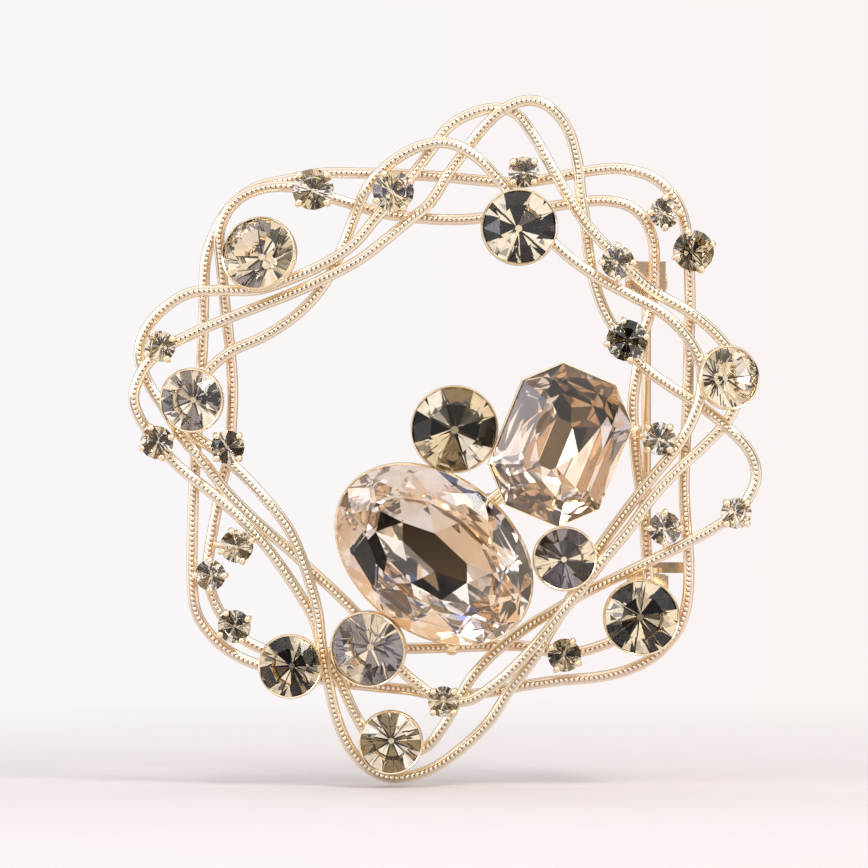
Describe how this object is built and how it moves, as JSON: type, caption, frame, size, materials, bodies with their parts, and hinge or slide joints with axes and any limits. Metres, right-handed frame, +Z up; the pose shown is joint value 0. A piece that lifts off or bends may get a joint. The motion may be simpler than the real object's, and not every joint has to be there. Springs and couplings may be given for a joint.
{
  "type": "brooch",
  "caption": "Openwork wreath brooch: five woven milgrain wires, claw and cup set crystals, hinged pin stem and turning safety catch behind.",
  "frame": {"origin": "middle of the plain stretch of the closed pin stem", "axes": "as worn: +Z up along the closed stem, towards its joint; the face looks along -Y and the wearer is on the +Y side; +X is to the right of someone looking at the face"},
  "size_m": [0.0528, 0.0143, 0.0575],
  "materials": {
    "front_wire_gold": "polished pale gold plating, milgrain ridge along the front",
    "back_wire_gold": "polished pale rose gold plating, milgrain ridge along the front",
    "setting_gold": "polished pale gold plating",
    "pin_gold": "polished pale gold plating",
    "smoky_crystal": "foil-backed faceted smoky crystal",
    "oval_crystal": "foil-backed faceted champagne crystal",
    "octagon_crystal": "foil-backed faceted peach champagne crystal"
  },
  "bodies": {
    "brooch": {"back_wire_outer": "back_wire_gold", "back_wire_inner": "back_wire_gold", "front_wire_arch": "front_wire_gold", "front_wire_swing": "front_wire_gold", "front_wire_peak": "front_wire_gold", "centre_frame": "setting_gold", "oval_setting": "setting_gold", "oval_crystal": "oval_crystal", "octagon_setting": "setting_gold", "octagon_crystal": "octagon_crystal", "centre_cup": "setting_gold", "centre_crystal": "smoky_crystal", "cup_upper_left": "setting_gold", "cup_upper_middle": "setting_gold", "cup_left": "setting_gold", "cup_right": "setting_gold", "cup_lower_right": "setting_gold", "cup_inner_right": "setting_gold", "cup_bottom": "setting_gold", "cup_inner_left": "setting_gold", "cup_lower_left": "setting_gold", "crystal_upper_left": "smoky_crystal", "crystal_upper_middle": "smoky_crystal", "crystal_left": "smoky_crystal", "crystal_right": "smoky_crystal", "crystal_lower_right": "smoky_crystal", "crystal_inner_right": "smoky_crystal", "crystal_bottom": "smoky_crystal", "crystal_inner_left": "smoky_crystal", "crystal_lower_left": "smoky_crystal", "claw_settings_large": "setting_gold", "claw_settings_medium": "setting_gold", "claw_settings_small": "setting_gold", "crystal_top_left": "smoky_crystal", "crystal_top": "smoky_crystal", "crystal_right_shoulder": "smoky_crystal", "crystal_right_inside": "smoky_crystal", "crystal_right_strand": "smoky_crystal", "crystal_left_point": "smoky_crystal", "crystal_left_inside": "smoky_crystal", "crystal_right_cross": "smoky_crystal", "crystal_right_lower_inside": "smoky_crystal", "crystal_bottom_right": "smoky_crystal", "crystal_lower_left_back": "smoky_crystal", "crystal_left_lower_inside": "smoky_crystal", "crystal_top_back": "smoky_crystal", "crystal_top_right_back": "smoky_crystal", "crystal_left_shoulder": "smoky_crystal", "crystal_right_point": "smoky_crystal", "crystal_bottom_cross": "smoky_crystal", "crystal_left_lower_back": "smoky_crystal", "pin_joint": "pin_gold", "joint_rivet": "pin_gold", "catch_housing": "pin_gold"},
    "stem": {"pin_stem": "pin_gold"},
    "catch": {"catch_sleeve": "pin_gold"}
  },
  "joints": [
    {"name": "pin_stem_swing", "type": "hinge", "parent": "brooch", "child": "stem", "pos_m": [0, 0, 0.013], "axis": [1, 0, 0], "range_deg": [0, 105]},
    {"name": "catch_turn", "type": "hinge", "parent": "brooch", "child": "catch", "pos_m": [0, 0, -0.013], "axis": [0, 0, 1], "range_deg": [0, 150]}
  ]
}
